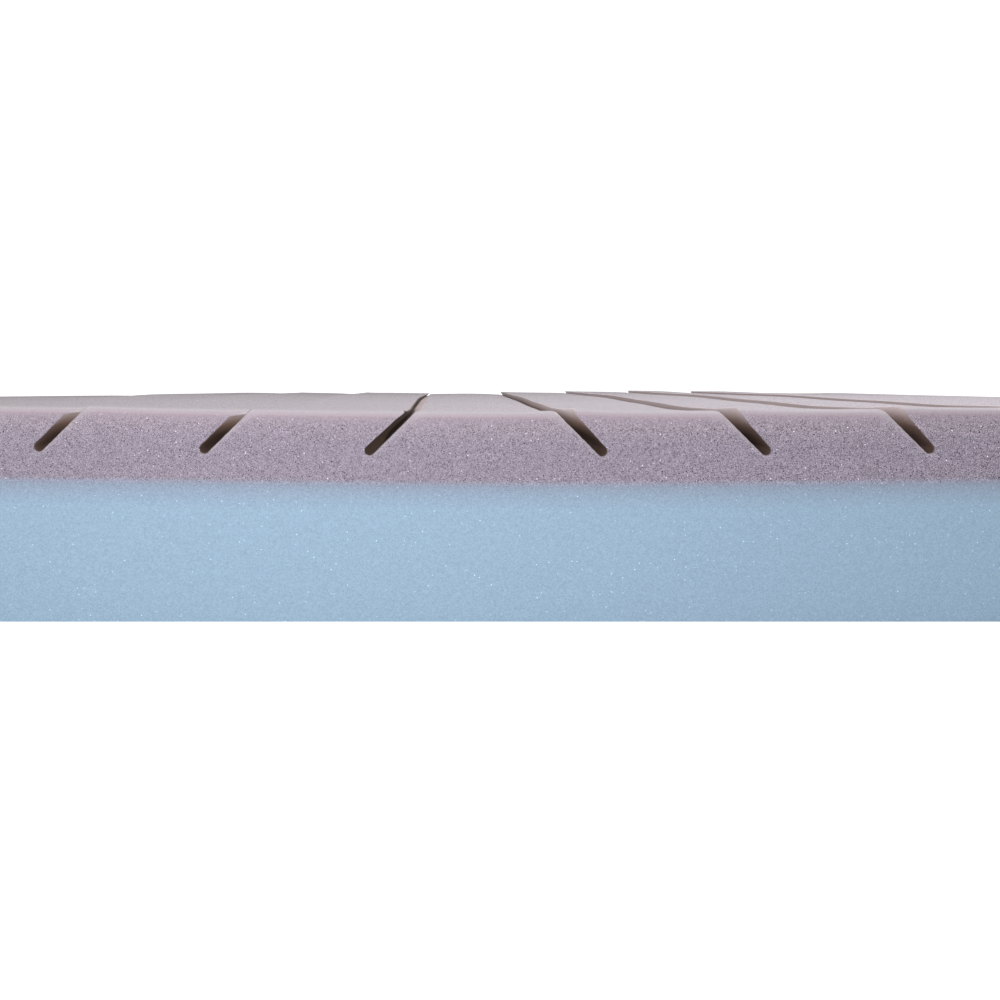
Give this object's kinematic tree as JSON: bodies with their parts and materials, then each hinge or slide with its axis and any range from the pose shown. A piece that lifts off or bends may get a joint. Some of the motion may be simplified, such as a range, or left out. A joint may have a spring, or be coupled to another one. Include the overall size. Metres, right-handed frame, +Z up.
{
  "type": "foam mattress core",
  "caption": "Bare single-bed foam mattress core: a soft comfort slab with slanted, round-ended cuts across its width, bonded onto a firmer flat base slab.",
  "frame": {"origin": "middle of the underside, where the base slab rests", "axes": "+X along the mattress, +Y across it from the front long side to the back one, +Z up through the slabs"},
  "size_m": [2, 0.9, 0.2058],
  "materials": {
    "comfort_foam": "open-cell mauve foam with visible pores, matt",
    "base_foam": "fine-cell pale blue foam, matt"
  },
  "bodies": {
    "root": {"comfort_layer": "comfort_foam", "base_layer": "base_foam"}
  },
  "joints": []
}
